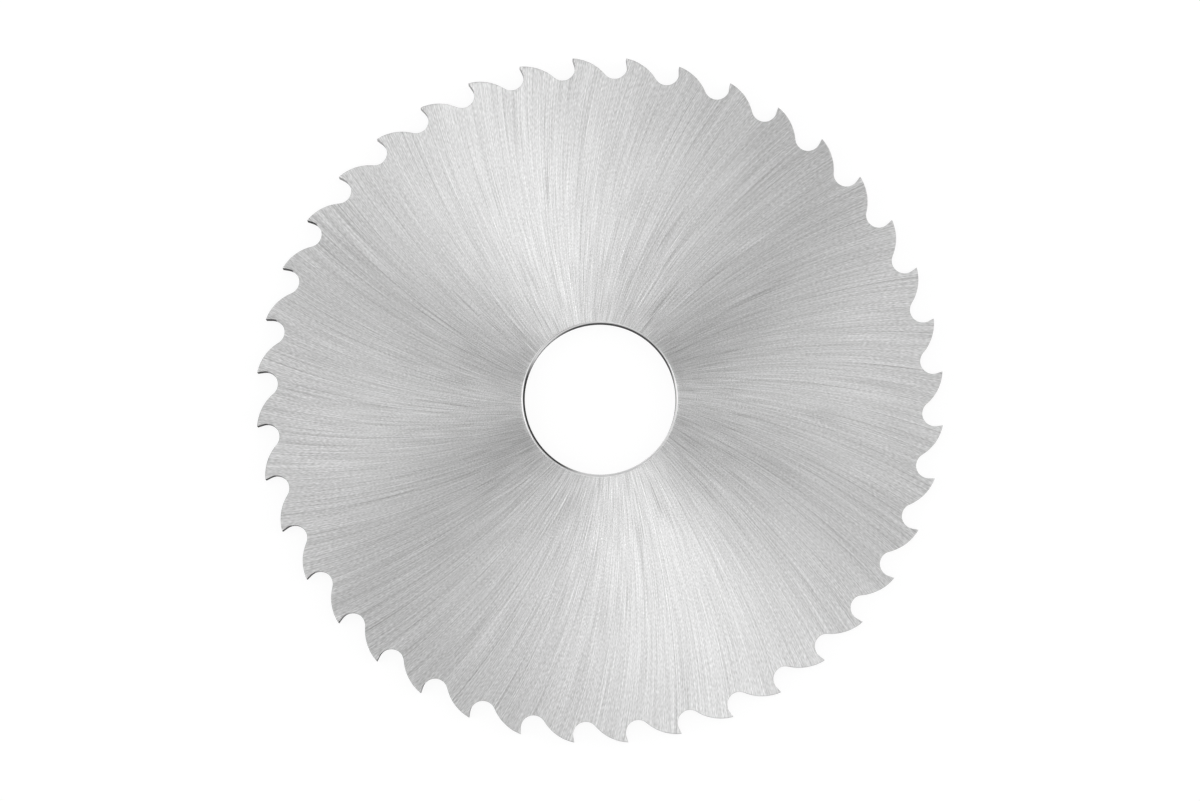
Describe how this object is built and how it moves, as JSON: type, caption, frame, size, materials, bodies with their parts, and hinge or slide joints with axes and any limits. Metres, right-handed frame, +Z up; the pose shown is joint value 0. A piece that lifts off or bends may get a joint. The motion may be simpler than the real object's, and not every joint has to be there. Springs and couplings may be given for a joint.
{
  "type": "slitting saw",
  "caption": "Thin round milling saw with coarse curved teeth, hollow-ground sides and a plain chamfered bore.",
  "frame": {"origin": "on the lower plane, under the centre of the bore", "axes": "+Z up along the bore axis; the saw lies flat, and seen from +Z its teeth point counter-clockwise"},
  "size_m": [0.0996, 0.0996, 0.003],
  "materials": {
    "ground_steel": "bright steel, ground in fine near-radial arcs"
  },
  "bodies": {
    "root": {"saw_blade": "ground_steel"}
  },
  "joints": []
}
